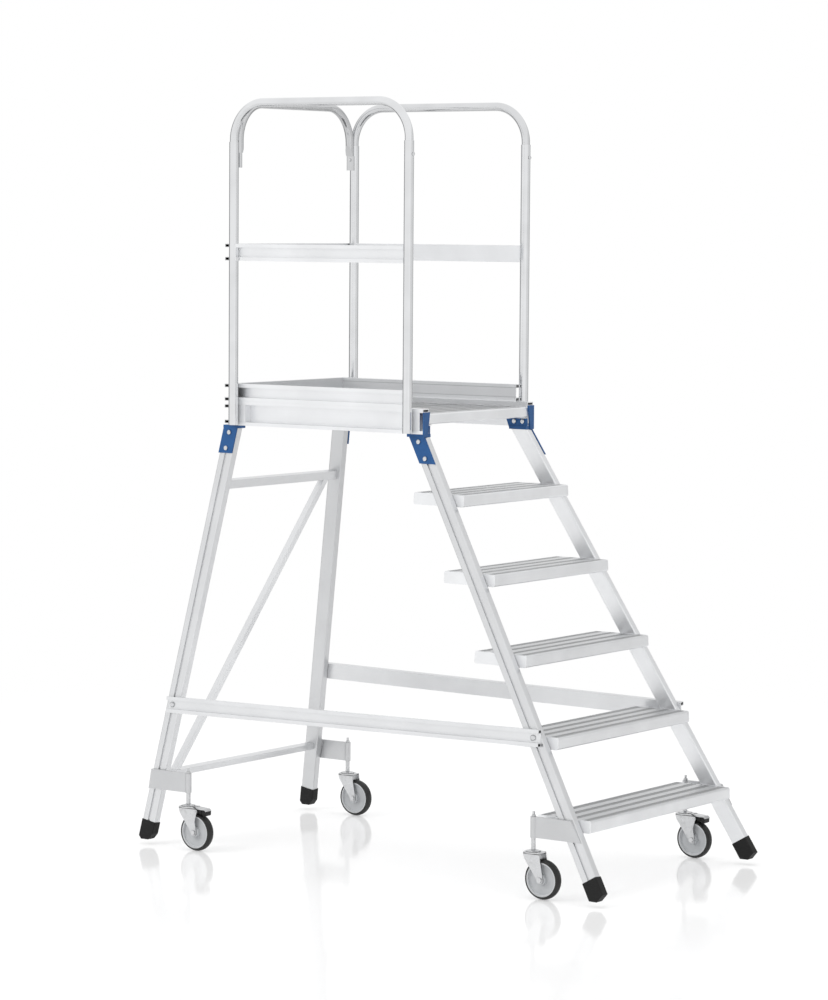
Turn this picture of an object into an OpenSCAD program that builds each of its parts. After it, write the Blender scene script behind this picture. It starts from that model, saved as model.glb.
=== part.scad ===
// Mobile work platform: a splayed ladder with five treads, a guarded deck and four sprung castors.
// Millimetres, +Z up, +X towards the treads, origin on the floor in the middle of the footprint.
// The pose is the unladen one: the castors carry the frame and the rubber feet hang clear.

/* [Platform] */
// Height of the deck above the floor when the feet stand on it
platform_h = 1444; // [1430:2:1480]
// Height of the feet above the floor while the springs carry the frame
castor_lift = 18; // [10:1:20]
// Distance between the front and rear guard posts
post_span = 700; // [620:5:780]
// Distance between the left and right guard posts
post_track = 660; // [600:5:720]
// Height of the side beams
beam_h = 80; // [76:1:88]
// Width of the side beams
beam_w = 33; // [30:1:40]
// Height of the side beams above the deck
kerb_h = 16; // [12:1:22]
// Reach of the side beams ahead of the front posts
beam_front = 49; // [48:1:70]
// Wall of the side beams
beam_wall = 3; // [2.5:0.5:4]
// Height of the rear beam
rear_beam_h = 63; // [56:1:70]
// Number of deck planks
plank_count = 3; // [2:1:4]
// Thickness of a deck plank
plank_t = 34; // [28:1:38]
// Depth of the nosing along the deck's front edge
nosing_w = 45; // [36:1:60]

/* [Ladder] */
// Lean of the front stiles from the vertical
front_lean = 30.2; // [27:0.1:33]
// Splay of each front stile in the plane of the ladder
front_splay = 6; // [4:0.1:8]
// Height of the lowest tread above the soles of the feet
first_rise = 234; // [220:1:250]
// Height from the uppermost tread to the deck
last_rise = 250; // [220:1:270]
// Depth of a tread
tread_depth = 200; // [160:5:220]
// Height of a tread's section
tread_h = 38; // [30:1:44]
// Distance from a stile's middle to the front edge of the tread
tread_overhang = 76; // [70:1:100]
// Wall of the treads and planks
tread_wall = 2.5; // [2:0.5:3.5]
// Spacing of the grooves in the treads and planks
groove_pitch = 52; // [30:1:60]
// Width of the grooves in the treads and planks
groove_w = 24; // [10:1:28]
// Depth of the grooves in the treads and planks
groove_depth = 1.2; // [0.6:0.1:1.5]

/* [Stiles] */
// Depth of the stile section
stile_depth = 52; // [44:1:60]
// Width of the stile section
stile_w = 28; // [25:1:34]
// Wall of the stile section
stile_wall = 2.5; // [2:0.5:3.5]
// Width of the channel along a stile's outer face
channel_w = 9; // [5:0.5:10]
// Depth of the channel along a stile's outer face
channel_d = 4; // [2:0.5:6]
// Lean of the rear stiles from the vertical
rear_lean = 10.1; // [8:0.1:13]
// Splay of each rear stile in the plane of the rear frame
rear_splay = 6; // [4:0.1:8]
// Distance from the front post to the top of the front stile
front_stile_x = 21; // [14:1:26]
// Distance from the rear post to the top of the rear stile
rear_stile_x = -25; // [-30:1:-18]
// Distance from the beam's outer face to the front stile's outer face
front_inset = 12.5; // [10:0.5:20]
// Distance from the beam's outer face to the rear stile's outer face
rear_inset = 4.5; // [4.5:0.5:10]

/* [Bracing] */
// Height of the left brace where it crosses the rear stile
left_brace_rear_z = 468; // [440:2:530]
// Height of the left brace where it crosses the front stile
left_brace_front_z = 488; // [440:2:530]
// Height of the right brace where it crosses the rear stile
right_brace_rear_z = 502; // [440:2:530]
// Height of the right brace where it crosses the front stile
right_brace_front_z = 486; // [440:2:530]
// Height of the side brace section
brace_h = 53; // [46:1:60]
// Diameter of the brace bolt heads
brace_head_d = 18; // [14:0.5:22]
// Drop of the middle of the rear frame's upper crossbar below the side beams
upper_bar_drop = 197; // [140:1:300]
// Height of the middle of the rear frame's lower crossbar
lower_bar_z = 233; // [200:1:280]
// Height of the upper crossbar's section
upper_bar_h = 28; // [20:1:34]
// Height of the lower crossbar's section
lower_bar_h = 20; // [16:1:30]
// Depth of the crossbar sections
bar_depth = 25; // [20:1:30]
// Wall of the crossbars and the diagonal
bar_wall = 2; // [1.5:0.5:3]
// Width of the rear diagonal
diagonal_w = 22; // [18:1:28]
// Distance of the diagonal's upper end from the middle of the frame
diagonal_top_y = 245; // [180:5:260]
// Distance of the diagonal's lower end from the middle of the frame
diagonal_bottom_y = 345; // [280:5:360]

/* [Guard rail] */
// Height of the guard rail above the deck
guard_h = 1000; // [900:10:1100]
// Diameter of the guard posts
post_d = 32; // [30:0.5:36]
// Diameter of the bent hoop tube
hoop_d = 28; // [25:0.5:28]
// Wall of the bent hoop tube
hoop_wall = 2; // [1.5:0.5:3]
// Radius of the hoop bends at the tube's middle
bend_r = 120; // [80:5:150]
// Length of hoop tube held inside a post
spigot_len = 60; // [40:5:90]
// Height of the middle of the knee rails above the deck
knee_h = 502; // [440:2:540]
// Height of the knee rail section
rail_h = 55; // [46:1:60]
// Height of the toe board section
toe_h = 56; // [48:1:70]
// Depth of the rail sections
rail_depth = 20; // [18:1:24]
// Wall of the rail sections
rail_wall = 2; // [1.5:0.5:2.5]
// Height of the hollow edges of the rail sections
bead_h = 12; // [10:1:14]

/* [Corner connectors] */
// Thickness of the connector plates
plate_t = 5; // [4:0.5:6]
// Thickness of the connector under the beam
web_t = 10; // [6:1:14]
// Drop of the outer plate below the beam
plate_drop = 92; // [76:1:116]
// Diameter of the frame bolts
bolt_d = 8; // [6:0.5:10]
// Diameter of the frame bolt heads
head_d = 15; // [12:0.5:18]
// Height of the frame bolt heads
head_h = 5.5; // [4:0.5:8]

/* [Feet] */
// Rubber around the stile in a foot
foot_t = 2; // [1.5:0.5:5]
// Height of a foot above its sole at the stile's middle
foot_h = 61; // [54:1:72]
// Rubber under the stile's end
foot_bottom = 24; // [22:1:28]
// Length of the flat sole
sole_len = 30; // [26:1:34]
// Slope of the bevels beside the sole
bevel_angle = 50; // [44:1:54]

/* [Castors] */
// Diameter of the castor wheels
wheel_d = 125; // [110:1:130]
// Width of the tyre
tyre_w = 30; // [26:1:36]
// Thickness of the tyre
tyre_t = 9; // [8:0.5:14]
// Offset of the axle from the swivel axis
trail = 37; // [30:1:42]
// Distance from the front stile's middle to the swivel axis
front_reach = 128; // [122:1:140]
// Distance from the rear stile's middle to the swivel axis
rear_reach = 137; // [130:1:145]
// Distance of the swivel axis outside the stile's outer face
castor_out = 6; // [5:0.5:9]
// Height of the middle of the castor brackets
bracket_z = 221; // [215:1:240]
// Height of the castor brackets
bracket_h = 65; // [58:1:72]
// Thickness of the castor brackets
bracket_t = 8; // [6:0.5:9]
// Diameter of the sprung stem
stem_d = 13.9; // [12.9:0.5:15.9]
// Wall of the tube that guides the stem
guide_wall = 3; // [2.5:0.5:4]
// Diameter of the pin on top of the stem
pin_d = 8; // [6:0.5:8.5]
// Diameter of the kingpin
kingpin_d = 12; // [10:0.5:14]
// Diameter of the wheel axle
axle_d = 10; // [8:0.5:12]
// Thickness of the fork's sheet
fork_t = 3; // [2.5:0.5:4]
// Diameter of the spring's wire
wire_d = 1.6; // [1.2:0.1:1.8]
// Number of turns in a stem spring
spring_turns = 7; // [5:1:8]

/* [Hidden] */
FRONT = 1;
REAR = -1;
LEFT = -1;
RIGHT = 1;
SIDES = [LEFT, RIGHT];
ENDS = [FRONT, REAR];

$fn = 48;
far = 3000;              // size of a block that cuts everything beyond a plane
seat_gap = 0.1;          // gap between a round tube and a flat seat
run_gap = 0.05;          // radial clearance of a running fit
face_gap = 0.3;          // clearance between faces that turn past each other
socket_gap = 0.2;        // clearance between a tube and its socket

deck_top = platform_h + castor_lift;
beam_top = deck_top + kerb_h;
beam_bot = beam_top - beam_h;
beam_out = post_track / 2 - post_d / 2 - seat_gap;
beam_in = beam_out - beam_w;
beam_lip = 11;           // height of the side beam's lower lip
top_lip = kerb_h - 4;    // height of the side beam's hollow upper edge
ledge_w = 16;            // width of the ledge that carries the planks
plank_bot = deck_top - plank_t;
web_bot = beam_bot - web_t;

foot_depth = stile_depth + 2 * foot_t;
foot_w = stile_w + 2 * foot_t;

// A front sole starts at the foot's back face and a rear sole lies under the stile's middle.
front_heel = -foot_depth / 2 / cos(front_lean);
front_toe = front_heel + sole_len;
rear_heel = -sole_len / 2;
rear_toe = sole_len / 2;

// Distance from the end of a sole to the foot's face, along a bevel
function bevel_run(lean, rest) = rest / (tan(lean) * tan(bevel_angle) + 1);

// Reach of the feet from the front posts, which puts the origin midway between them.
front_tip = front_stile_x + (web_bot - castor_lift) * tan(front_lean) + front_toe
    + bevel_run(front_lean, -front_heel - front_toe);
rear_tip = -post_span + rear_stile_x - (web_bot - castor_lift) * tan(rear_lean) + rear_heel
    - bevel_run(rear_lean, foot_depth / 2 / cos(rear_lean) + rear_heel);
front_post_x = -(front_tip + rear_tip) / 2;
rear_post_x = front_post_x - post_span;
rail_x = rear_post_x - post_d / 2 - seat_gap;   // seat of the rear rails on the rear posts
nose_x = front_post_x + beam_front;

front_top = [front_post_x + front_stile_x, beam_out - front_inset - stile_w / 2, web_bot];
rear_top = [rear_post_x + rear_stile_x, beam_out - rear_inset - stile_w / 2, web_bot];

function lean_of(end) = end == FRONT ? -front_lean : rear_lean;
function splay_of(end) = end == FRONT ? front_splay : rear_splay;
function top_of(end) = end == FRONT ? front_top : rear_top;
function axis_of(end) = [
    cos(splay_of(end)) * sin(lean_of(end)),
    -sin(splay_of(end)),
    cos(splay_of(end)) * cos(lean_of(end))
];
function outward_of(end) = [
    sin(splay_of(end)) * sin(lean_of(end)),
    cos(splay_of(end)),
    sin(splay_of(end)) * cos(lean_of(end))
];
function along(end, z) = (z - web_bot) / axis_of(end)[2];
function stile_at(end, z) = top_of(end) + axis_of(end) * along(end, z);
function stile_face(end, z) = stile_at(end, z) + outward_of(end) * stile_w / 2;

function stile_end_z(end) = castor_lift + foot_bottom + stile_depth / 2 * sin(abs(lean_of(end)));

tread_count = 5;
step_rise = (platform_h - first_rise - last_rise) / (tread_count - 1);   // height from tread to tread
function tread_z(k) = castor_lift + first_rise + step_rise * (tread_count - k);
function tread_front(k) = stile_at(FRONT, tread_z(k))[0] + tread_overhang;

tread_nose_r = 6;
end_plate_t = 3;         // plates that close the ends of the treads

hoop_z = deck_top + guard_h - hoop_d / 2;
hoop_straight = 6;       // straight tube between a hoop's bend and the top of its post
seam_z = hoop_z - bend_r - hoop_straight;
knee_z = deck_top + knee_h;
toe_z = beam_top + toe_h / 2;
toe_back = 6;            // distance of a side toe board's end behind the front post's middle
post_gap = 2;            // height of the posts' lower ends above the connectors
post_bot = beam_bot + post_gap;
rear_beam_drop = 11;     // drop of the rear beam's top below the side beams' top
rear_beam_z = beam_top - rear_beam_drop - rear_beam_h / 2;
upper_bar_z = beam_bot - upper_bar_drop;

hoop_leg_t = 12;         // thickness of the rear hoop's flattened legs
hoop_leg_w = 30;         // width of the rear hoop's flattened legs
hoop_flat_drop = 35;     // drop below the posts' tops at which those legs are flat
hoop_leg_drop = 83;      // drop below the posts' tops at which those legs end
hoop_flat_z = seam_z - hoop_flat_drop;
hoop_leg_end = seam_z - hoop_leg_drop;
rear_hoop_y = post_track / 2 - hoop_d - face_gap;
hoop_leg_y = post_track / 2 - post_d / 2 - seat_gap - hoop_leg_t / 2;

screw_d = 3.5;           // guard screws, thin ones with wide heads that cut their own thread
screw_head_d = 12;
screw_head_h = 4;
front_screw_z = seam_z - 42;
rear_screw_z = seam_z - 48;
knee_screw_z = knee_z - (rail_h - bead_h) / 2;
knee_screw_x = 25;       // distance of the knee rail screws from the rear posts' middle

wheel_r = wheel_d / 2;
hub_r = wheel_r - tyre_t;
hub_w = tyre_w + 4;
fork_in = hub_w + 2;
fork_w = fork_in + 2 * fork_t;
crown_gap = 16.7;        // gap between the tyre and the fork's crown
crown_z = wheel_d + crown_gap;
crown_t = 4;
crown_top = crown_z + crown_t;
flange_bot = crown_top + face_gap;
flange_h = 6;            // height of the stem's domed flange
bracket_bot = bracket_z - bracket_h / 2;
bracket_top = bracket_z + bracket_h / 2;
guide_d = stem_d + 2 * run_gap + 2 * guide_wall;
cap_t = 4;               // closed top of the guide tube
cap_z = bracket_top - cap_t;
spring_h = 44;
shoulder_z = cap_z - spring_h;
nut_z = bracket_top + face_gap;
nut_h = 5;
pin_out = 16;            // length of the pin above the bracket
pin_top = bracket_top + pin_out;
spring_r = (stem_d + pin_d) / 4;

pivot_x = trail + 8;     // brake pedal's pivot, behind the wheel's top
pivot_z = wheel_d + 8;
pivot_d = 6;
pedal_w = 30;
pedal_reach = 40;        // length of the pedal from its pivot
pedal_seat = 6;          // height of the pedal's underside above its pivot
sleeve_r = 5.5;          // radius of the pedal's sleeve around the pivot
pad_gap = 4;             // gap between the brake block and the tyre

function castor_x(end) = stile_at(end, bracket_z)[0] - end * (end == FRONT ? front_reach : rear_reach);
function castor_y(end) = stile_face(end, bracket_z)[1] + castor_out;

// Placing

module on_side(side) {
    mirror([0, side == LEFT ? 1 : 0, 0]) children();
}

module stile_frame(end) {
    translate(top_of(end)) rotate([splay_of(end), lean_of(end), 0]) children();
}

module rear_plane() {
    translate([rear_top[0], 0, web_bot]) rotate([0, rear_lean, 0]) children();
}

module castor_axis(end, side) {
    translate([castor_x(end), side * castor_y(end), 0]) children();
}

module above(z) {
    translate([-far, -far, z]) cube([2 * far, 2 * far, far]);
}

module below(z) {
    translate([-far, -far, z - far]) cube([2 * far, 2 * far, far]);
}

// Everything outside a stile's inner face
module beyond_stile(end, inset = 0) {
    stile_frame(end) translate([-far, -stile_w / 2 - inset, -far]) cube([2 * far, far, 2 * far]);
}

// The space that a stile fills, with its hollow closed
module stile_block(end) {
    stile_frame(end) translate([-stile_depth / 2, -stile_w / 2, -far]) cube([stile_depth, stile_w, far]);
}

// A solid along X, made from a profile drawn in Y and Z
module along_x(length) {
    rotate([90, 0, 90]) linear_extrude(length) children();
}

// A solid along Y, centred, made from a profile drawn in X and Z
module along_y(length) {
    rotate([90, 0, 0]) linear_extrude(length, center = true) children();
}

// Profiles

module rounded_rect(w, h, r) {
    square([w - 2 * r, h], center = true);
    square([w, h - 2 * r], center = true);
    for (x = [-1, 1])
        for (y = [-1, 1])
            translate([x * (w / 2 - r), y * (h / 2 - r)]) circle(r);
}

module stile_profile() {
    corner_r = 4;
    difference() {
        union() {
            difference() {
                rounded_rect(stile_depth, stile_w, corner_r);
                square([stile_depth - 2 * stile_wall, stile_w - 2 * stile_wall], center = true);
            }
            translate([-channel_w / 2 - stile_wall, stile_w / 2 - channel_d - stile_wall])
                square([channel_w + 2 * stile_wall, channel_d + stile_wall / 2]);
        }
        translate([-channel_w / 2, stile_w / 2 - channel_d]) square([channel_w, channel_d + 1]);
    }
}

// Open section with two hollow edges; its flat back lies on x = 0 and the edges stand out in +x
module rail_profile(h, back_t) {
    difference() {
        union() {
            translate([0, -h / 2]) square([back_t, h]);
            for (s = [-1, 1])
                translate([0, s * (h - bead_h) / 2 - bead_h / 2]) square([rail_depth, bead_h]);
        }
        for (s = [-1, 1])
            translate([back_t, s * (h - bead_h) / 2 - bead_h / 2 + rail_wall])
                square([rail_depth - back_t - rail_wall, bead_h - 2 * rail_wall]);
    }
}

module board_outline(depth, h, nose_r) {
    translate([-depth / 2, -h / 2]) rounded_rect(depth, h, nose_r);
}

// Ribbed hollow board: its top front corner is at the origin and it runs back to -depth
module board_profile(depth, h, nose_r) {
    chambers = 3;
    chamber_w = (depth - (chambers + 1) * tread_wall) / chambers;
    top_t = tread_wall + groove_depth;
    grooves = floor((depth - 2 * nose_r - groove_w) / groove_pitch);
    first = (depth - grooves * groove_pitch) / 2;
    difference() {
        board_outline(depth, h, nose_r);
        for (i = [0 : chambers - 1])
            translate([-depth + tread_wall + i * (chamber_w + tread_wall) + chamber_w / 2,
                       -(h + top_t - tread_wall) / 2])
                rounded_rect(chamber_w, h - top_t - tread_wall, max(nose_r - tread_wall, 1));
        for (i = [0 : grooves])
            translate([-first - i * groove_pitch - groove_w / 2, -groove_depth])
                square([groove_w, groove_depth + 1]);
    }
}

module box_profile(w, h, wall) {
    difference() {
        square([w, h], center = true);
        square([w - 2 * wall, h - 2 * wall], center = true);
    }
}

// Bolt with its head above z = 0 and its shank below
module bolt(shank, d = bolt_d, hd = head_d, hh = head_h) {
    dome = hh * 0.35;
    cylinder(d = hd, h = hh - dome);
    translate([0, 0, hh - dome]) cylinder(d1 = hd, d2 = hd * 0.7, h = dome);
    translate([0, 0, -shank]) cylinder(d = d, h = shank);
}

// Front ladder

module stile(end, side) {
    bottom = along(end, stile_end_z(end));
    spare = stile_depth;
    color("gainsboro") on_side(side) difference() {
        stile_frame(end) translate([0, 0, bottom])
            linear_extrude(spare - bottom) stile_profile();
        above(web_bot);
    }
}

module tread_place(k) {
    width = 2 * stile_at(FRONT, tread_z(k))[1] + stile_w;
    translate([tread_front(k), 0, tread_z(k)]) along_y(width) children();
}

module tread(k) {
    color("lightgray") difference() {
        tread_place(k) board_profile(tread_depth, tread_h, tread_nose_r);
        for (side = SIDES) on_side(side) beyond_stile(FRONT, end_plate_t);
    }
}

// Plates that close the ends of the treads against the stiles
module tread_end_plates() {
    color("silver") for (k = [1 : tread_count]) for (side = SIDES) on_side(side) intersection() {
        tread_place(k) board_outline(tread_depth, tread_h, tread_nose_r);
        difference() {
            beyond_stile(FRONT, end_plate_t);
            beyond_stile(FRONT);
        }
    }
}

// Rear frame

module rear_crossbar(z, h) {
    color("lightgray") difference() {
        rear_plane() translate([0, 0, along(REAR, z) * cos(rear_splay)])
            along_y(2 * stile_at(REAR, z)[1]) box_profile(bar_depth, h, bar_wall);
        for (side = SIDES) on_side(side) beyond_stile(REAR);
    }
}

// Runs from the upper right to the lower left, mitred between the two crossbars
module rear_diagonal() {
    top = along(REAR, upper_bar_z) * cos(rear_splay) - upper_bar_h / 2;
    bottom = along(REAR, lower_bar_z) * cos(rear_splay) + lower_bar_h / 2;
    run = diagonal_top_y + diagonal_bottom_y;
    angle = atan2(run, top - bottom);
    length = norm([run, top - bottom]);
    color("lightgray") rear_plane() intersection() {
        translate([0, -diagonal_bottom_y, bottom]) rotate([-angle, 0, 0])
            translate([0, 0, -diagonal_w * 2])
                linear_extrude(length + diagonal_w * 4) box_profile(bar_depth - 4, diagonal_w, bar_wall);
        translate([-far / 2, -far / 2, bottom]) cube([far, far, top - bottom]);
    }
}

// Side braces

brace_back = 5.5;        // thickness of the brace's back, which is trimmed to the stiles
brace_sink = 2;          // depth of the brace's back behind the stile faces
brace_rear_over = 14;    // length of brace past the middle of the rear stile
brace_front_over = 28;   // length of brace past the middle of the front stile
brace_tilt = (asin(outward_of(FRONT)[2]) + asin(outward_of(REAR)[2])) / 2;

function brace_rear(side) = stile_face(REAR, side == LEFT ? left_brace_rear_z : right_brace_rear_z);
function brace_front(side) = stile_face(FRONT, side == LEFT ? left_brace_front_z : right_brace_front_z);
function brace_run(side) = brace_front(side) - brace_rear(side);
function brace_len(side) = norm(brace_run(side));

module brace_frame(side) {
    run = brace_run(side);
    translate(brace_rear(side))
        rotate([brace_tilt, -asin(run[2] / norm(run)), atan2(run[1], run[0])]) children();
}

module brace_bolt_frames(side) {
    for (x = [0, brace_len(side)])
        brace_frame(side) translate([x, brace_back - brace_sink, 0]) rotate([-90, 0, 0]) children();
}

module side_brace(side) {
    color("lightgray") on_side(side) difference() {
        brace_frame(side) translate([-brace_rear_over, -brace_sink, 0])
            along_x(brace_len(side) + brace_rear_over + brace_front_over) rail_profile(brace_h, brace_back);
        for (end = ENDS) stile_block(end);
        brace_bolt_frames(side) cylinder(d = bolt_d + socket_gap, h = 4 * brace_back, center = true);
    }
}

// Platform

module side_beam(side) {
    color("gainsboro") on_side(side) translate([rail_x, 0, 0])
        along_x(nose_x - rail_x) difference() {
            union() {
                translate([beam_in, beam_bot]) square([beam_w, beam_h]);
                translate([beam_in - ledge_w, plank_bot - beam_wall]) square([ledge_w + 1, beam_wall]);
            }
            translate([beam_in + beam_wall, beam_bot + beam_lip])
                square([beam_w, beam_h - beam_lip - top_lip]);
            translate([beam_in + beam_wall, beam_top - top_lip + beam_wall])
                square([beam_w - 2 * beam_wall, top_lip - 2 * beam_wall]);
        }
}

module rear_rail(z, h, back_t) {
    translate([rail_x, 0, z]) mirror([1, 0, 0]) along_y(post_track) rail_profile(h, back_t);
}

module rear_beam() {
    color("lightgray") rear_rail(rear_beam_z, rear_beam_h, beam_wall);
}

module deck_nosing() {
    nose_r = 6;
    color("lightgray") translate([nose_x, 0, deck_top])
        along_y(2 * (beam_in - socket_gap)) board_profile(nosing_w, plank_t, nose_r);
}

module deck_planks() {
    joint = 0.4;
    nose_r = 2;
    length = (nose_x - nosing_w - rail_x) / plank_count;
    color("silver") for (i = [0 : plank_count - 1])
        translate([rail_x + (i + 1) * length - joint, 0, deck_top])
            along_y(2 * (beam_in - socket_gap)) board_profile(length - joint, plank_t, nose_r);
}

// Block in the beam's channel that each guard post is fixed to
module post_cleats() {
    behind = 14;
    ahead = 36;
    color("darkgray") for (side = SIDES) on_side(side) for (x = [front_post_x, rear_post_x])
        translate([x - behind, beam_in + beam_wall, beam_bot + beam_lip])
            cube([ahead + behind, beam_w - beam_wall - 1, beam_h - beam_lip - top_lip]);
}

// Guard

module toe_board(side) {
    color("gainsboro") on_side(side)
        translate([rail_x, beam_out - rail_depth, toe_z])
            along_x(front_post_x - toe_back - rail_x) rail_profile(toe_h, rail_wall);
}

module toe_board_rear() {
    color("gainsboro") rear_rail(toe_z, toe_h, rail_wall);
}

module knee_rail(side) {
    color("gainsboro") on_side(side) difference() {
        translate([rear_post_x, post_track / 2 - rail_depth / 2, knee_z])
            along_x(post_span) rail_profile(rail_h, rail_wall);
        for (x = [front_post_x, rear_post_x])
            translate([x, post_track / 2, knee_z - rail_h])
                cylinder(d = post_d + 2 * seat_gap, h = 2 * rail_h);
        guard_screw_holes();
    }
}

module knee_rail_rear() {
    color("gainsboro") rear_rail(knee_z, rail_h, rail_wall);
}

module guard_posts() {
    color("lightgray") difference() {
        for (side = SIDES) on_side(side) for (x = [front_post_x, rear_post_x])
            translate([x, post_track / 2, post_bot]) difference() {
                cylinder(d = post_d, h = seam_z - post_bot);
                translate([0, 0, -1]) cylinder(d = hoop_d + socket_gap, h = seam_z - post_bot + 2);
            }
        guard_screw_holes();
    }
}

module tube(length) {
    linear_extrude(length) tube_profile();
}

module tube_profile() {
    difference() {
        circle(d = hoop_d);
        circle(d = hoop_d - 2 * hoop_wall);
    }
}

// Quarter bend from pointing up at the origin to pointing along -x
module bend() {
    translate([-bend_r, 0, 0]) rotate([90, 0, 0]) rotate_extrude(angle = 90)
        translate([bend_r, 0]) tube_profile();
}

// Bent tube between two upright legs, the right one at x = 0 and the other at -span
module hoop_top(span, leg) {
    bend_start = hoop_z - bend_r;
    for (flip = [0, 1]) translate([flip * -span, 0, bend_start]) mirror([flip, 0, 0]) {
        bend();
        translate([0, 0, -leg]) tube(leg);
    }
    translate([-bend_r, 0, hoop_z]) rotate([0, -90, 0]) tube(span - 2 * bend_r);
}

module guard_hoop(side) {
    color("gainsboro") difference() {
        translate([front_post_x, side * post_track / 2, 0]) hoop_top(post_span, hoop_straight + spigot_len);
        guard_screw_holes();
    }
}

// The rear hoop's legs are pressed flat where they lie against the posts.
module rear_hoop() {
    stub = 1;
    color("gainsboro") difference() {
        translate([rear_post_x, 0, 0]) {
            translate([0, rear_hoop_y, 0]) rotate([0, 0, 90]) hoop_top(2 * rear_hoop_y, stub);
            for (side = SIDES) on_side(side) {
                pressed_shoulder(hoop_z - bend_r - stub);
                translate([0, hoop_leg_y, hoop_leg_end])
                    linear_extrude(hoop_flat_z - hoop_leg_end) flat_leg_profile();
            }
        }
        guard_screw_holes();
    }
}

// Round tube that narrows down to the flat leg
module pressed_shoulder(top) {
    inner = hoop_leg_y - hoop_leg_t / 2;
    outer = hoop_leg_y + hoop_leg_t / 2;
    past = 2;
    root = [inner, hoop_flat_z - past];
    low_corner = [outer, hoop_flat_z - past];
    high_corner = [outer, top + past];
    clear_of_tube = [rear_hoop_y - hoop_d / 2 - past, top + past];
    intersection() {
        translate([0, rear_hoop_y, hoop_flat_z]) cylinder(d = hoop_d, h = top - hoop_flat_z);
        translate([-hoop_d, 0, 0]) along_x(2 * hoop_d)
            polygon([root, low_corner, high_corner, clear_of_tube]);
    }
}

module flat_leg_profile() {
    square([hoop_leg_w - hoop_leg_t, hoop_leg_t], center = true);
    for (s = [-1, 1]) translate([s * (hoop_leg_w - hoop_leg_t) / 2, 0]) circle(d = hoop_leg_t);
}

// Screws through the lower edges of the side knee rails, beside the rear posts
module knee_screw_places() {
    for (side = SIDES) on_side(side)
        translate([rear_post_x + knee_screw_x, post_track / 2 + rail_depth / 2, knee_screw_z])
            rotate([-90, 0, 0]) children();
}

// Screws that hold the side hoops in the front posts
module front_screw_places() {
    for (side = SIDES)
        translate([front_post_x + post_d / 2 + seat_gap, side * post_track / 2, front_screw_z])
            rotate([0, 90, 0]) children();
}

// Screws through the rear hoop's legs into the rear posts
module rear_screw_places() {
    for (side = SIDES) on_side(side)
        translate([rear_post_x, hoop_leg_y - hoop_leg_t / 2, rear_screw_z]) rotate([90, 0, 0]) children();
}

screw_past = 1;          // length of a screw past the last wall that it holds
knee_screw_len = rail_depth + screw_past;
front_screw_len = seat_gap + (post_d - hoop_d) / 2 + hoop_wall + screw_past;
rear_screw_len = hoop_leg_t + front_screw_len;

module screw_hole(length) {
    spare = 1;
    translate([0, 0, -length - spare]) cylinder(d = screw_d + socket_gap, h = length + 2 * spare);
}

module guard_screw_holes() {
    knee_screw_places() screw_hole(knee_screw_len);
    front_screw_places() screw_hole(front_screw_len);
    rear_screw_places() screw_hole(rear_screw_len);
}

module guard_screws() {
    color("silver") {
        knee_screw_places() bolt(knee_screw_len, screw_d, screw_head_d, screw_head_h);
        front_screw_places() bolt(front_screw_len, screw_d, screw_head_d, screw_head_h);
        rear_screw_places() bolt(rear_screw_len, screw_d, screw_head_d, screw_head_h);
    }
}

// Corner connectors

connector_back = 18;     // reach of a connector behind its post
upstand_top = plank_bot - beam_wall - 1;
upstand_lean = 14;       // slant of the front upstand's back edge
front_plate_top = 5;     // height of the front plate above the deck
front_plate_foot = 21;   // width of the front plate at its foot
plate_edge = 14;         // distance of the outer plate's lower bolt from its lower end
plate_bolts = [-16, plate_edge + web_t - plate_drop];   // heights of its bolts from the stile's top
upstand_edge = 10;       // distance of the upstands' bolts from their upper edge
front_web_end = front_top[0] + stile_depth / 2 / cos(front_lean);
front_upstand_xs = [front_post_x + 1, front_post_x + 34];
rear_upstand_x0 = rear_post_x - post_d / 2 + 2;
rear_upstand_x1 = rear_post_x + 8;
rear_upstand_xs = [rear_post_x - 3];

module plate_bolt_frame(end, dz) {
    stile_frame(end) translate([0, stile_w / 2 + plate_t, along(end, web_bot + dz)])
        rotate([-90, 0, 0]) children();
}

module outer_plate(end) {
    intersection() {
        stile_frame(end) translate([-stile_depth / 2 - 1, stile_w / 2, -far])
            cube([stile_depth + 2, plate_t, 2 * far]);
        translate([-far, -far, beam_bot - plate_drop]) cube([2 * far, 2 * far, plate_drop - web_t / 2]);
    }
}

module upstand(x0, x1, slant) {
    translate([0, beam_in - plate_t / 2, 0]) along_y(plate_t)
        polygon([[x0, web_bot], [x1, web_bot], [x1, upstand_top], [x0 - slant, upstand_top]]);
}

module upstand_bolt_frame(x) {
    translate([x, beam_in - plate_t, upstand_top - upstand_edge]) rotate([90, 0, 0]) children();
}

module connector_web(end, x0, x1) {
    inner = min(top_of(end)[1] - stile_w / 2, beam_in - plate_t);
    outer = min(top_of(end)[1] + stile_w / 2 + plate_t, beam_out);
    translate([x0, inner, web_bot]) cube([x1 - x0, outer - inner, web_t]);
}

module connector_bolt_holes(end, xs) {
    for (dz = plate_bolts)
        plate_bolt_frame(end, dz) cylinder(d = bolt_d + socket_gap, h = 4 * plate_t, center = true);
    for (x = xs)
        upstand_bolt_frame(x) cylinder(d = bolt_d + socket_gap, h = 3 * plate_t, center = true);
}

// Plate across the front end of the side beam, narrower at its foot
module front_plate() {
    translate([nose_x, 0, 0]) along_x(plate_t)
        polygon([[beam_out - front_plate_foot, web_bot], [beam_out, web_bot],
                 [beam_out, deck_top + front_plate_top], [beam_in, deck_top + front_plate_top]]);
    translate([front_post_x, beam_out - front_plate_foot, web_bot])
        cube([beam_front + plate_t, front_plate_foot - front_inset + plate_t, web_t]);
}

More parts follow.
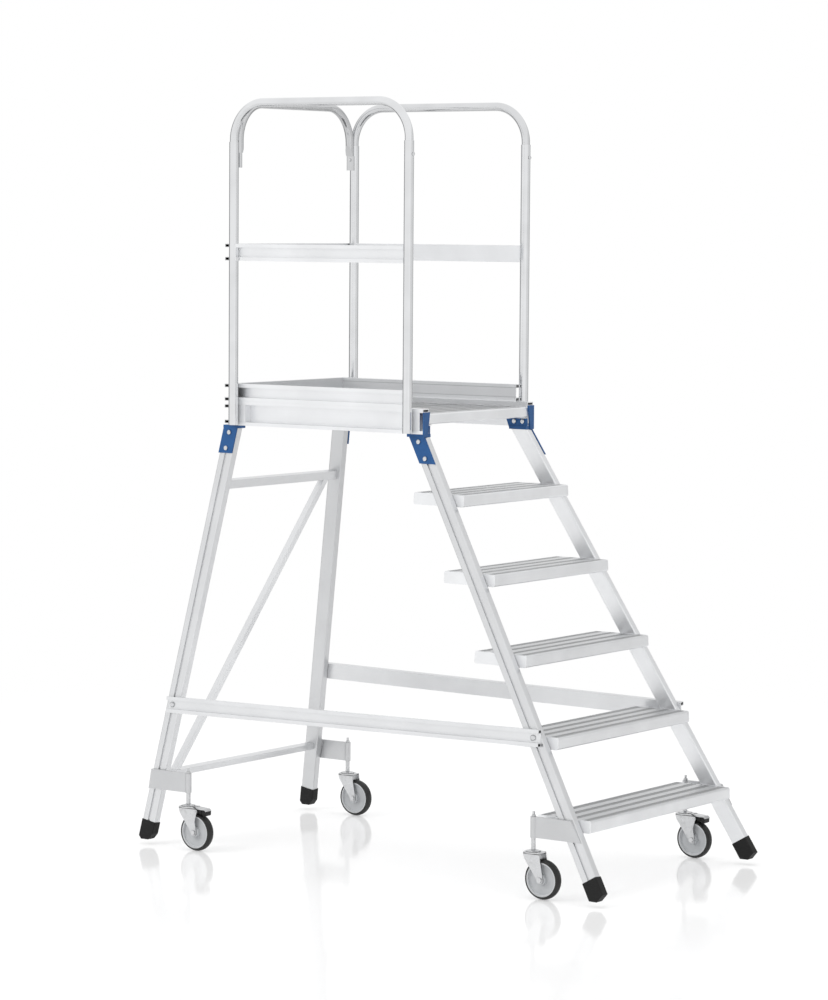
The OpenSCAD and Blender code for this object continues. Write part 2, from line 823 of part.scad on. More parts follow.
module front_connectors() {
    x0 = front_post_x - connector_back;
    color("royalblue") for (side = SIDES) on_side(side) difference() {
        union() {
            connector_web(FRONT, x0, front_web_end);
            outer_plate(FRONT);
            upstand(x0, front_web_end, upstand_lean);
            front_plate();
        }
        connector_bolt_holes(FRONT, front_upstand_xs);
        stile_block(FRONT);
    }
}

module rear_connectors() {
    x0 = rear_top[0] - stile_depth / 2 - 3;
    color("royalblue") for (side = SIDES) on_side(side) difference() {
        union() {
            connector_web(REAR, x0, rear_upstand_x1);
            outer_plate(REAR);
            upstand(rear_upstand_x0, rear_upstand_x1, 0);
        }
        connector_bolt_holes(REAR, rear_upstand_xs);
        stile_block(REAR);
    }
}

// Feet

// Everything under a bevel that rises from the end of a sole
module bevel_cut(x, dir) {
    run = 2 * foot_depth;
    translate([x, 0, castor_lift]) along_y(far)
        polygon([[0, 0], [dir * run, run * tan(bevel_angle)], [dir * run, -run], [0, -run]]);
}

module rubber_feet() {
    corner_r = 4;
    color("black") for (side = SIDES) for (end = ENDS) on_side(side) difference() {
        middle = stile_at(end, castor_lift)[0];
        top = along(end, castor_lift + foot_h);
        stile_frame(end) difference() {
            translate([0, 0, top - 2 * foot_h]) linear_extrude(2 * foot_h)
                rounded_rect(foot_depth, foot_w, corner_r);
            translate([0, 0, along(end, stile_end_z(end))]) linear_extrude(foot_h)
                square([stile_depth + socket_gap, stile_w + socket_gap], center = true);
        }
        below(castor_lift);
        bevel_cut(middle + (end == FRONT ? front_toe : rear_toe), 1);
        if (end == REAR) bevel_cut(middle + rear_heel, -1);
    }
}

// Castors

// Plate from the guide tube to the stile, with a pad that fills up to the stile's tilted face
module castor_bracket(end) {
    inside = 2;
    difference() {
        union() {
            intersection() {
                union() {
                    translate([end == FRONT ? castor_x(end) : castor_x(end) - far,
                               castor_y(end) - bracket_t / 2, bracket_bot])
                        cube([far, bracket_t, bracket_h]);
                    stile_frame(end) translate([-stile_depth / 2 + inside, 0, -far])
                        cube([stile_depth - 2 * inside, far, far]);
                }
                stile_frame(end) translate([-far - inside * end, -far, -2 * far])
                    translate([end == FRONT ? stile_depth / 2 : far - stile_depth / 2, 0, 0])
                        cube([far, 2 * far, 3 * far]);
                translate([-far, 0, bracket_bot]) cube([2 * far, castor_y(end) + bracket_t / 2, bracket_h]);
            }
            castor_axis(end, RIGHT) translate([0, 0, bracket_bot]) cylinder(d = guide_d, h = bracket_h);
        }
        castor_axis(end, RIGHT) {
            translate([0, 0, bracket_bot - 1])
                cylinder(d = stem_d + 2 * run_gap, h = cap_z - bracket_bot + 1);
            cylinder(d = pin_d + 2 * run_gap, h = 2 * bracket_top);
        }
        stile_block(end);
    }
}

module castor_brackets() {
    color("silver") for (side = SIDES) for (end = ENDS) on_side(side) castor_bracket(end);
}

module frame_bolts() {
    color("silver") for (side = SIDES) on_side(side) {
        for (end = ENDS) for (dz = plate_bolts) plate_bolt_frame(end, dz) bolt(plate_t);
        for (x = concat(front_upstand_xs, rear_upstand_xs)) upstand_bolt_frame(x) bolt(plate_t);
        brace_bolt_frames(side) bolt(brace_back - brace_sink - face_gap, bolt_d, brace_head_d);
    }
}

module castor_stem(end, side) {
    rivet_h = 4;
    rivet_d = kingpin_d + 6;
    flange_d = 46;
    rim_h = 2;
    collar_d = stem_d + 4;
    color("lightgray") castor_axis(end, side) {
        translate([0, 0, crown_z - face_gap - rivet_h]) cylinder(d = rivet_d, h = rivet_h);
        translate([0, 0, crown_z - face_gap]) cylinder(d = kingpin_d, h = flange_bot - crown_z + face_gap);
        translate([0, 0, flange_bot]) cylinder(d = flange_d, h = rim_h);
        translate([0, 0, flange_bot + rim_h]) cylinder(d1 = flange_d, d2 = collar_d, h = flange_h - rim_h);
        translate([0, 0, flange_bot + flange_h])
            cylinder(d = stem_d, h = shoulder_z - flange_bot - flange_h);
        translate([0, 0, shoulder_z]) cylinder(d = pin_d, h = pin_top - shoulder_z);
        translate([0, 0, nut_z]) difference() {
            cylinder(d = pin_d + 7, h = nut_h, $fn = 6);
            translate([0, 0, -1]) cylinder(d = pin_d + 2 * run_gap, h = nut_h + 2);
        }
    }
}

// Coil spring as one swept wire
function coil_point(t, a) = [
    (spring_r + wire_d / 2 * cos(a)) * cos(t * 360),
    (spring_r + wire_d / 2 * cos(a)) * sin(t * 360),
    wire_d / 2 + face_gap + t / spring_turns * (spring_h - wire_d - 2 * face_gap) + wire_d / 2 * sin(a)
];

module coil_spring() {
    rings = spring_turns * 8;
    wire_sides = 6;
    points = [for (i = [0 : rings]) for (j = [0 : wire_sides - 1])
        coil_point(i / 8, -j * 360 / wire_sides)];
    walls = [for (i = [0 : rings - 1]) for (j = [0 : wire_sides - 1])
        let (a = i * wire_sides + j, b = i * wire_sides + (j + 1) % wire_sides)
        each [[a, b, a + wire_sides], [b, b + wire_sides, a + wire_sides]]];
    ends = [for (j = [1 : wire_sides - 2])
        each [[0, j + 1, j], [rings * wire_sides, rings * wire_sides + j, rings * wire_sides + j + 1]]];
    polyhedron(points, concat(walls, ends));
}

module castor_springs() {
    color("dimgray") for (side = SIDES) for (end = ENDS)
        castor_axis(end, side) translate([0, 0, shoulder_z]) coil_spring();
}

// Bent sheet fork with its axle; a braked fork also has ears for the pedal's pivot
module castor_fork(end, side, braked) {
    crown_d = 57;
    crown_back = 24;
    crown_front = 33;
    foot_r = 11.5;
    ear_r = 6.5;
    head_t = 4;
    color("silver") castor_axis(end, side) {
        difference() {
            union() {
                translate([-crown_back, -fork_w / 2, crown_z])
                    cube([crown_back + crown_front, fork_w, crown_t]);
                translate([0, 0, crown_z]) cylinder(d = crown_d, h = crown_t);
                for (s = SIDES) translate([0, s * (fork_in + fork_t) / 2, 0]) along_y(fork_t) {
                    polygon([[-crown_back, crown_top], [crown_front, crown_top],
                             [trail + foot_r, wheel_r], [trail - foot_r, wheel_r],
                             [-crown_back + 4, wheel_d], [-crown_back, crown_z - 4]]);
                    translate([trail, wheel_r]) circle(foot_r);
                    if (braked) {
                        translate([pivot_x, pivot_z]) circle(ear_r);
                        polygon([[crown_front - 2, crown_top], [pivot_x, pivot_z + ear_r],
                                 [pivot_x + ear_r, pivot_z], [trail, wheel_r + 20]]);
                    }
                }
            }
            translate([0, 0, crown_z - 1]) cylinder(d = kingpin_d + 2 * run_gap, h = crown_t + 2);
            translate([trail, 0, wheel_r]) rotate([90, 0, 0])
                cylinder(d = axle_d + socket_gap, h = 2 * fork_w, center = true);
            if (braked) translate([pivot_x, 0, pivot_z]) rotate([90, 0, 0])
                cylinder(d = pivot_d + 2 * run_gap, h = 2 * fork_w, center = true);
        }
        translate([trail, 0, wheel_r]) rotate([90, 0, 0]) {
            cylinder(d = axle_d, h = fork_w + head_t, center = true);
            for (s = [0, 1]) mirror([0, 0, s]) translate([0, 0, fork_w / 2 + run_gap])
                cylinder(d = axle_d + 7, h = head_t, $fn = s == 0 ? 6 : 48);
        }
    }
}

module wheel_hub(end, side) {
    rim_t = 5;
    rim_w = tyre_w - 3;
    web_w = 12;
    boss_r = 17;
    color("lightgray") castor_axis(end, side) translate([trail, 0, wheel_r]) rotate([90, 0, 0])
        rotate_extrude($fn = 96) difference() {
            union() {
                translate([0, -hub_w / 2]) square([boss_r, hub_w]);
                translate([0, -web_w / 2]) square([hub_r - 1, web_w]);
                translate([hub_r - rim_t, -rim_w / 2]) square([rim_t, rim_w]);
            }
            translate([0, -hub_w]) square([axle_d / 2 + run_gap, 2 * hub_w]);
        }
}

module tyre(end, side) {
    crown_r = 22;
    color("black") castor_axis(end, side) translate([trail, 0, wheel_r]) rotate([90, 0, 0])
        rotate_extrude($fn = 96) intersection() {
            translate([hub_r, -tyre_w / 2]) square([tyre_t, tyre_w]);
            translate([wheel_r - crown_r, 0]) circle(crown_r);
        }
}

// Pedal plate on its pivot pin, with its toe turned down; places are from the pivot
module brake_pedal(end, side) {
    color("silver") castor_axis(end, side) translate([pivot_x, 0, pivot_z]) {
        along_y(pedal_w) {
            circle(sleeve_r);
            polygon([[-7, 5], [-7, 12], [pedal_reach - 6, 9], [pedal_reach, 3],
                     [pedal_reach - 2, 1], [pedal_reach - 7, pedal_seat], [4, pedal_seat],
                     [4, 0], [-4, 0]]);
        }
        rotate([90, 0, 0]) cylinder(d = pivot_d, h = fork_w + 2, center = true);
    }
}

// Rubber block between the pedal and the tyre, and the rubber tip under the pedal's toe
module brake_block(end, side) {
    block_start = sleeve_r + 1;
    block_end = block_start + 14;
    tip_start = pedal_reach - 15;
    color("black") castor_axis(end, side) {
        along_y(pedal_w - 4) difference() {
            translate([pivot_x + block_start, wheel_r])
                square([block_end - block_start, pivot_z + pedal_seat - wheel_r]);
            translate([trail, wheel_r]) circle(wheel_r + pad_gap, $fn = 96);
        }
        translate([pivot_x, 0, pivot_z]) along_y(pedal_w + 2)
            polygon([[tip_start, pedal_seat], [pedal_reach - 7, pedal_seat], [pedal_reach - 2, 1],
                     [pedal_reach - 3, -12], [pedal_reach - 9, -15], [tip_start, -4]]);
    }
}

stile(FRONT, LEFT);  // front_stile_left
stile(FRONT, RIGHT);  // front_stile_right
stile(REAR, LEFT);  // rear_stile_left
stile(REAR, RIGHT);  // rear_stile_right
tread(1);  // tread_1
tread(2);  // tread_2
tread(3);  // tread_3
tread(4);  // tread_4
tread(5);  // tread_5
tread_end_plates();
rear_crossbar(upper_bar_z, upper_bar_h);  // rear_upper_crossbar
rear_crossbar(lower_bar_z, lower_bar_h);  // rear_lower_crossbar
rear_diagonal();
side_brace(LEFT);  // side_brace_left
side_brace(RIGHT);  // side_brace_right
side_beam(LEFT);  // side_beam_left
side_beam(RIGHT);  // side_beam_right
rear_beam();
deck_nosing();
deck_planks();
post_cleats();
toe_board(LEFT);  // toe_board_left
toe_board(RIGHT);  // toe_board_right
toe_board_rear();
knee_rail(LEFT);  // knee_rail_left
knee_rail(RIGHT);  // knee_rail_right
knee_rail_rear();
guard_posts();
guard_hoop(LEFT);  // guard_hoop_left
guard_hoop(RIGHT);  // guard_hoop_right
rear_hoop();
front_connectors();
rear_connectors();
rubber_feet();
castor_brackets();
frame_bolts();
guard_screws();
castor_springs();
castor_stem(FRONT, LEFT);  // castor_stem_front_left
castor_stem(FRONT, RIGHT);  // castor_stem_front_right
castor_stem(REAR, LEFT);  // castor_stem_rear_left
castor_stem(REAR, RIGHT);  // castor_stem_rear_right
castor_fork(FRONT, LEFT, false);  // castor_fork_front_left
castor_fork(FRONT, RIGHT, true);  // castor_fork_front_right
castor_fork(REAR, LEFT, true);  // castor_fork_rear_left
castor_fork(REAR, RIGHT, false);  // castor_fork_rear_right
wheel_hub(FRONT, LEFT);  // wheel_hub_front_left
wheel_hub(FRONT, RIGHT);  // wheel_hub_front_right
wheel_hub(REAR, LEFT);  // wheel_hub_rear_left
wheel_hub(REAR, RIGHT);  // wheel_hub_rear_right
tyre(FRONT, LEFT);  // tyre_front_left
tyre(FRONT, RIGHT);  // tyre_front_right
tyre(REAR, LEFT);  // tyre_rear_left
tyre(REAR, RIGHT);  // tyre_rear_right
brake_pedal(FRONT, RIGHT);  // brake_pedal_front_right
brake_pedal(REAR, LEFT);  // brake_pedal_rear_left
brake_block(FRONT, RIGHT);  // brake_block_front_right
brake_block(REAR, LEFT);  // brake_block_rear_left
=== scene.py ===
import math

import bpy
from mathutils import Matrix, Vector


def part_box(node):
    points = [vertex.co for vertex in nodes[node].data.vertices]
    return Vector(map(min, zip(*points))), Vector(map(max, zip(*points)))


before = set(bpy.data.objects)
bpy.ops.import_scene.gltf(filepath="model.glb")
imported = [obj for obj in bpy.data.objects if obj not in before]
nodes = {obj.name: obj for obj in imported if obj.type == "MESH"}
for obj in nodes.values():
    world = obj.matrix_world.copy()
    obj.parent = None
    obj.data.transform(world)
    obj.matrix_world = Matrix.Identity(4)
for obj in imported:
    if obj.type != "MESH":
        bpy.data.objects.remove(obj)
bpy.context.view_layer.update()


class Shader:
    """A material being put together, with short calls for the nodes that it needs."""

    def __init__(self, name):
        self.material = bpy.data.materials.new(name)
        self.material.use_nodes = True
        self.tree = self.material.node_tree
        self.surface = self.tree.nodes["Principled BSDF"]
        self.place = self.add("ShaderNodeTexCoord").outputs["Object"]

    def add(self, kind, **settings):
        node = self.tree.nodes.new(kind)
        for key, value in settings.items():
            setattr(node, key, value)
        return node

    def link(self, source, socket):
        if isinstance(source, (int, float, tuple)):
            socket.default_value = source
        else:
            self.tree.links.new(source, socket)

    def look(self, **values):
        for key, value in values.items():
            self.link(value, self.surface.inputs[key.replace("_", " ")])

    def turned(self, turn):
        """Places measured along a piece that stands at these angles, in degrees."""
        node = self.add("ShaderNodeMapping", vector_type="TEXTURE")
        self.link(self.place, node.inputs["Vector"])
        node.inputs["Rotation"].default_value = [math.radians(a) for a in turn]
        return node.outputs["Vector"]

    def moved(self, vector, centre):
        node = self.add("ShaderNodeVectorMath", operation="SUBTRACT")
        self.link(vector, node.inputs[0])
        node.inputs[1].default_value = centre
        return node.outputs["Vector"]

    def stretched(self, vector, scale):
        node = self.add("ShaderNodeVectorMath", operation="MULTIPLY")
        self.link(vector, node.inputs[0])
        node.inputs[1].default_value = scale
        return node.outputs["Vector"]

    def split(self, vector):
        node = self.add("ShaderNodeSeparateXYZ")
        self.link(vector, node.inputs[0])
        return node.outputs

    def noise(self, vector, scale, detail=2.0):
        node = self.add("ShaderNodeTexNoise")
        self.link(vector, node.inputs["Vector"])
        node.inputs["Scale"].default_value = scale
        node.inputs["Detail"].default_value = detail
        return node.outputs["Fac"]

    def cells(self, vector, scale):
        node = self.add("ShaderNodeTexVoronoi")
        self.link(vector, node.inputs["Vector"])
        node.inputs["Scale"].default_value = scale
        return node.outputs["Color"]

    def bands(self, vector, axis, pitch):
        """Smooth waves along an axis, that many metres apart."""
        node = self.add("ShaderNodeTexWave", bands_direction=axis)
        self.link(vector, node.inputs["Vector"])
        node.inputs["Scale"].default_value = math.pi / 10 / pitch
        return node.outputs["Fac"]

    def maths(self, operation, a, b=0.0, c=0.0):
        node = self.add("ShaderNodeMath", operation=operation)
        for socket, value in zip(node.inputs, (a, b, c)):
            self.link(value, socket)
        return node.outputs[0]

    def remap(self, value, low, high, new_low, new_high, kind="LINEAR"):
        node = self.add("ShaderNodeMapRange", interpolation_type=kind)
        for key, v in (("Value", value), ("From Min", low), ("From Max", high),
                       ("To Min", new_low), ("To Max", new_high)):
            self.link(v, node.inputs[key])
        return node.outputs["Result"]

    def length(self, a, b):
        squares = self.maths("ADD", self.maths("MULTIPLY", a, a), self.maths("MULTIPLY", b, b))
        return self.maths("SQRT", squares)

    def from_axle(self, centre):
        """Distance from the axle that runs across the ladder through this centre."""
        x, _, z = self.split(self.moved(self.place, centre))
        return self.length(x, z)

    def mix(self, factor, a, b):
        node = self.add("ShaderNodeMix", data_type="RGBA")
        self.link(factor, node.inputs[0])
        for value, socket in ((a, node.inputs[6]), (b, node.inputs[7])):
            self.link(value + (1.0,) if isinstance(value, tuple) else value, socket)
        return node.outputs[2]

    def bevel(self, radius):
        node = self.add("ShaderNodeBevel", samples=4)
        node.inputs["Radius"].default_value = radius
        return node.outputs["Normal"]

    def bump(self, height, depth, normal):
        node = self.add("ShaderNodeBump")
        node.inputs["Strength"].default_value = 1.0
        node.inputs["Distance"].default_value = depth
        self.link(height, node.inputs["Height"])
        self.link(normal, node.inputs["Normal"])
        return node.outputs["Normal"]

    def seen(self):
        """1 for rays from the camera, in reflections and through glass, and 0 for light on the object."""
        path = self.add("ShaderNodeLightPath").outputs
        mirrored = self.maths("MAXIMUM", path["Is Glossy Ray"], path["Is Transmission Ray"])
        return self.maths("MAXIMUM", path["Is Camera Ray"], mirrored)

    def blend_into_output(self, factor, first, second):
        node = self.add("ShaderNodeMixShader")
        for source, socket in zip((factor, first, second), node.inputs):
            self.link(source, socket)
        self.link(node.outputs[0], self.tree.nodes["Material Output"].inputs["Surface"])

    def crevice(self, distance):
        """1 in the open and 0 deep inside a hollow of about this width."""
        node = self.add("ShaderNodeAmbientOcclusion", samples=4)
        node.inputs["Distance"].default_value = distance
        return node.outputs["AO"]


def grey(value, tint=(1.0, 1.0, 1.0)):
    return tuple(value * t for t in tint)


COOL = (0.985, 0.995, 1.01)
# How closely the die lines and draw lines lie across a piece, and how slowly they change along it
GRAIN_FINE = 700.0
GRAIN_LONG = 2.0
DRAW_FINE = 420.0
DRAW_LONG = 3.0
# Lengths of the fine detail, in metres
SHADED_GROOVE_HALF = 0.0012
RIB_PITCH = 0.0048
TOOTH_PITCH = 0.004
GROOVE_DEPTH = 0.0012
GROOVE_HALF = 0.0005
MOULD_RING_PITCH = 0.003
TURNING_PITCH = 0.0022
HUB_DISC_RADIUS = 0.0462
HUB_RIM_RADIUS = 0.0472
SHADOW_RING_HALF = 0.0016


def aluminium(name, turn=(0, 0, 0), along="z", tone=0.70, rough=0.34, deep=0.85, shaded_groove_heights=()):
    """Extruded metal with die lines along its length and soft clouding. Painted shade darkens its hollows
    to the share deep of its tone, and fine grooves along it, at the heights given, are painted as dark
    lines of shade."""
    s = Shader(name)
    lengthwise = s.turned(turn)
    grain = tuple(GRAIN_LONG if axis == along else GRAIN_FINE for axis in "xyz")
    lines = s.noise(s.stretched(lengthwise, grain), 1.0, 3.0)
    clouds = s.noise(s.place, 7.0, 3.0)
    colour = s.mix(lines, grey(tone * 0.94, COOL), grey(min(tone * 1.05, 0.98), COOL))
    colour = s.mix(s.remap(clouds, 0.3, 0.7, 0.0, 1.0), grey(tone * 0.93, COOL), colour)
    # Painted shade: inside hollows the colour darkens to the share deep of the tone
    hollow = s.remap(s.crevice(0.02), 0.02, 0.35, 0.0, 1.0)
    colour = s.mix(hollow, grey(tone * deep), colour)
    # Painted shade: fine grooves at the heights given are drawn as dark lines
    for height in shaded_groove_heights:
        groove = s.maths("COMPARE", s.split(s.place)[2], height, SHADED_GROOVE_HALF)
        colour = s.mix(groove, colour, grey(tone * 0.72, COOL))
    s.look(Base_Color=colour, Metallic=1.0,
           Roughness=s.remap(lines, 0.25, 0.75, rough - 0.05, rough + 0.08),
           Normal=s.bump(lines, 0.00006, s.bevel(0.0009)))
    return s.material


def ribbed(name, top, low_x, tone):
    """Tread or plank: die lines across the ladder, with serrated strips in the grooves of its top. Painted
    shade darkens its top face, the serrated floors of those grooves and its hollows.
    """
    s = Shader(name)
    z = s.split(s.place)[2]
    lines = s.noise(s.stretched(s.place, (GRAIN_FINE, GRAIN_LONG, GRAIN_FINE)), 1.0, 3.0)
    clouds = s.noise(s.place, 9.0, 3.0)
    up = s.maths("GREATER_THAN", s.split(s.add("ShaderNodeNewGeometry").outputs["Normal"])[2], 0.9)
    groove = s.maths("MULTIPLY", s.maths("COMPARE", z, top - GROOVE_DEPTH, GROOVE_HALF), up)
    ribs = s.bands(s.moved(s.place, (low_x, 0.0, 0.0)), "X", RIB_PITCH)
    teeth = s.bands(s.place, "Y", TOOTH_PITCH)
    strip = s.maths("MULTIPLY", ribs, s.remap(teeth, 0.0, 1.0, 0.55, 1.0))
    plain = s.mix(lines, grey(tone * 0.93, COOL), grey(min(tone * 1.05, 0.97), COOL))
    plain = s.mix(s.remap(clouds, 0.3, 0.7, 0.0, 1.0), grey(tone * 0.9, COOL), plain)
    # Painted shade: the floors of the top's grooves are darker, in serrated strips
    shaded_groove_floor = s.mix(strip, grey(tone * 0.30, COOL), grey(tone * 0.66, COOL))
    # Painted shade: the top face is darker than the sides
    top_face = s.mix(groove, s.mix(lines, grey(tone * 0.66, COOL), grey(tone * 0.78, COOL)), shaded_groove_floor)
    colour = s.mix(up, plain, top_face)
    # Painted shade: inside hollows the colour darkens to 0.4 of the tone
    hollow = s.remap(s.crevice(0.02), 0.02, 0.35, 0.0, 1.0)
    colour = s.mix(hollow, grey(tone * 0.4), colour)
    height = s.maths("ADD", s.maths("MULTIPLY", lines, 0.08), s.maths("MULTIPLY", strip, groove))
    s.look(Base_Color=colour, Metallic=1.0,
           Roughness=s.remap(s.maths("ADD", s.maths("MULTIPLY", groove, 0.5), lines), 0.2, 1.2, 0.30, 0.5),
           Normal=s.bump(height, 0.0006, s.bevel(0.0009)))
    return s.material


def drawn_tube(name, along, tone):
    """Bright round tube with faint draw lines and painted shade that darkens its underside."""
    s = Shader(name)
    grain = tuple(DRAW_LONG if axis == along else DRAW_FINE for axis in "xyz")
    lines = s.noise(s.stretched(s.place, grain), 1.0, 2.0)
    clouds = s.noise(s.place, 12.0, 3.0)
    colour = s.mix(lines, grey(tone * 0.93, COOL), grey(tone * 1.07, COOL))
    colour = s.mix(s.remap(clouds, 0.35, 0.7, 0.0, 0.6), colour, grey(tone * 0.88, COOL))
    # Painted shade: the colour darkens where the surface faces down
    down = s.split(s.add("ShaderNodeNewGeometry").outputs["Normal"])[2]
    colour = s.mix(s.remap(down, -0.9, -0.1, 0.0, 1.0), grey(tone * 0.62, COOL), colour)
    s.look(Base_Color=colour, Metallic=1.0,
           Roughness=s.remap(clouds, 0.3, 0.7, 0.06, 0.12),
           Normal=s.bump(lines, 0.00004, s.bevel(0.0006)))
    return s.material


def painted(name, colour, deep):
    """Smooth coat with slight orange peel and clouding, and painted shade that darkens its corners."""
    s = Shader(name)
    peel = s.noise(s.place, 520.0, 2.0)
    clouds = s.noise(s.place, 30.0, 3.0)
    coat = s.mix(s.remap(clouds, 0.3, 0.7, 0.0, 0.45), colour, deep)
    # Painted shade: the coat darkens towards deep in its corners
    coat = s.mix(s.remap(s.crevice(0.012), 0.2, 0.9, 0.55, 0.0), coat, deep)
    s.look(Base_Color=coat, Roughness=s.remap(peel, 0.3, 0.7, 0.36, 0.48), Specular_IOR_Level=0.35,
           Normal=s.bump(peel, 0.00008, s.bevel(0.0012)))
    return s.material


def rubber(name, tone, rough, grain):
    """Matt black moulding with a fine grain and pale scuffs."""
    s = Shader(name)
    pores = s.noise(s.place, grain, 4.0)
    scuffs = s.noise(s.stretched(s.place, (60.0, 60.0, 240.0)), 1.0, 4.0)
    colour = s.mix(s.remap(scuffs, 0.52, 0.75, 0.0, 0.5), grey(tone), grey(tone * 2.6))
    s.look(Base_Color=colour, Roughness=s.remap(pores, 0.3, 0.7, rough - 0.08, rough + 0.08),
           Specular_IOR_Level=0.3, Normal=s.bump(pores, 0.0003, s.bevel(0.0015)))
    return s.material


def tyre_rubber(name, centre):
    """Black tyre with mould rings on its sides and a fine grain."""
    s = Shader(name)
    rings = s.maths("SINE", s.maths("MULTIPLY", s.from_axle(centre), 2 * math.pi / MOULD_RING_PITCH))
    pores = s.noise(s.place, 900.0, 3.0)
    dust = s.noise(s.place, 55.0, 4.0)
    colour = s.mix(s.remap(dust, 0.45, 0.75, 0.0, 0.6), grey(0.012), grey(0.035, (1.0, 1.0, 0.97)))
    height = s.maths("ADD", s.maths("MULTIPLY", rings, 0.25), pores)
    s.look(Base_Color=colour, Roughness=s.remap(pores, 0.3, 0.7, 0.46, 0.6),
           Normal=s.bump(height, 0.00025, s.bevel(0.001)))
    return s.material


def hub_plastic(name, centre):
    """Light grey wheel body with a paler rim ring, a darker dished disc and fine turning marks."""
    s = Shader(name)
    radius = s.from_axle(centre)
    turned = s.maths("SINE", s.maths("MULTIPLY", radius, 2 * math.pi / TURNING_PITCH))
    grain = s.noise(s.place, 420.0, 3.0)
    clouds = s.noise(s.place, 40.0, 3.0)
    disc = s.mix(s.remap(clouds, 0.3, 0.7, 0.0, 1.0), (0.61, 0.626, 0.642), (0.685, 0.70, 0.715))
    rim = s.mix(grain, (0.76, 0.775, 0.79), (0.82, 0.835, 0.85))
    colour = s.mix(s.remap(radius, HUB_DISC_RADIUS, HUB_RIM_RADIUS, 0.0, 1.0), disc, rim)
    height = s.maths("ADD", s.maths("MULTIPLY", turned, 0.3), grain)
    s.look(Base_Color=colour, Roughness=s.remap(grain, 0.3, 0.7, 0.38, 0.5),
           Normal=s.bump(height, 0.00008, s.bevel(0.0012)))
    return s.material


def zinc(name, tone, rough, shadow_ring_height=None):
    """Plated steel with a faint spangle and rub marks, painted shade in its crevices, and a painted shadow
    ring at the height given.
    """
    s = Shader(name)
    spangle = s.split(s.cells(s.place, 260.0))[0]
    rub = s.noise(s.place, 90.0, 4.0)
    colour = s.mix(s.remap(spangle, 0.0, 1.0, 0.0, 0.35), grey(tone, COOL), grey(tone * 0.82, COOL))
    colour = s.mix(s.remap(rub, 0.55, 0.8, 0.0, 0.5), colour, grey(tone * 0.62))
    # Painted shade: crevices darken towards a fifth of the tone
    colour = s.mix(s.remap(s.crevice(0.012), 0.15, 0.8, 0.75, 0.0), colour, grey(tone * 0.2))
    # Painted shadow: a dark ring at the height given
    if shadow_ring_height is not None:
        ring = s.maths("COMPARE", s.split(s.place)[2], shadow_ring_height, SHADOW_RING_HALF)
        colour = s.mix(ring, colour, grey(tone * 0.25))
    s.look(Base_Color=colour, Metallic=1.0, Roughness=s.remap(rub, 0.3, 0.7, rough, rough + 0.14),
           Normal=s.bump(rub, 0.0001, s.bevel(0.0008)))
    return s.material


def coat(names, material):
    for name in names:
        mesh = nodes[name].data
        mesh.materials.clear()
        mesh.materials.append(material)


# The stiles' angles, so that their die lines run along them, and their tones, which differ from stile to
# stile as painted light and shade
FRONT_TURN = (6.0, -30.2, 0.0)
REAR_TURN = (6.0, 10.1, 0.0)
STILES = (("front_stile_left", FRONT_TURN, -1, 0.75), ("front_stile_right", FRONT_TURN, 1, 0.88),
          ("rear_stile_left", REAR_TURN, -1, 0.77), ("rear_stile_right", REAR_TURN, 1, 0.66))
for name, turn, sign, tone in STILES:
    coat([name], aluminium(name, (sign * turn[0], turn[1], 0.0), tone=tone, deep=0.4))

coat(["side_beam_left", "side_beam_right", "toe_board_left", "knee_rail_left", "knee_rail_right"],
     aluminium("side_rails", along="x", tone=0.92))
# Heights of the right toe board's grooves above its lower edge and below its upper edge, painted as dark
# lines of shade
GROOVE_UP = 0.014
GROOVE_DOWN = 0.011
board_low, board_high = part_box("toe_board_right")
# Painted light: its tone is set above the other side rails' to brighten its shaded inner face
coat(["toe_board_right"], aluminium("right_toe_board", along="x", tone=0.95, rough=0.50,
                                    shaded_groove_heights=(board_low[2] + GROOVE_UP, board_high[2] - GROOVE_DOWN)))
# Painted light and shade: the two braces' tones differ from side to side
for name, slope, tone in (("side_brace_left", -0.79, 0.84), ("side_brace_right", 0.65, 0.74)):
    coat([name], aluminium(name, (0.0, slope, 0.0), "x", tone))
coat(["rear_beam", "toe_board_rear", "knee_rail_rear", "rear_upper_crossbar", "rear_lower_crossbar"],
     aluminium("rear_rails", along="y", tone=0.78))
coat(["rear_diagonal"], aluminium("diagonal", (-31.59, 10.1, 0.0), tone=0.82))
coat(["post_cleats"], aluminium("cleats", along="x", tone=0.92, rough=0.42))
coat(["tread_end_plates"], aluminium("end_plates", along="x", tone=0.93, rough=0.40))
coat(["castor_brackets"], aluminium("brackets", along="x", tone=0.62, rough=0.38))

# Painted light and shade: the treads' tones differ from tread to tread
for name, tone in (("tread_1", 0.92), ("tread_2", 0.88), ("tread_3", 0.84), ("tread_4", 0.82),
                   ("tread_5", 0.82), ("deck_nosing", 0.95), ("deck_planks", 0.62)):
    low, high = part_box(name)
    coat([name], ribbed(name, high[2], low[0], tone))

# Painted light and shade: the posts' and hoops' tones differ piece by piece
coat(["guard_posts"], drawn_tube("posts", "z", 0.79))
coat(["guard_hoop_left"], drawn_tube("left_hoop", "x", 0.80))
coat(["guard_hoop_right"], drawn_tube("right_hoop", "x", 0.73))
coat(["rear_hoop"], drawn_tube("rear_hoop", "y", 0.64))

coat(["front_connectors", "rear_connectors"],
     painted("blue_coat", (0.028, 0.132, 0.370), (0.011, 0.072, 0.228)))
coat(["rubber_feet"], rubber("foot_rubber", 0.010, 0.62, 700.0))
coat(["frame_bolts", "guard_screws"], zinc("fasteners", 0.72, 0.24))
coat(["castor_springs"], zinc("spring_wire", 0.45, 0.3))

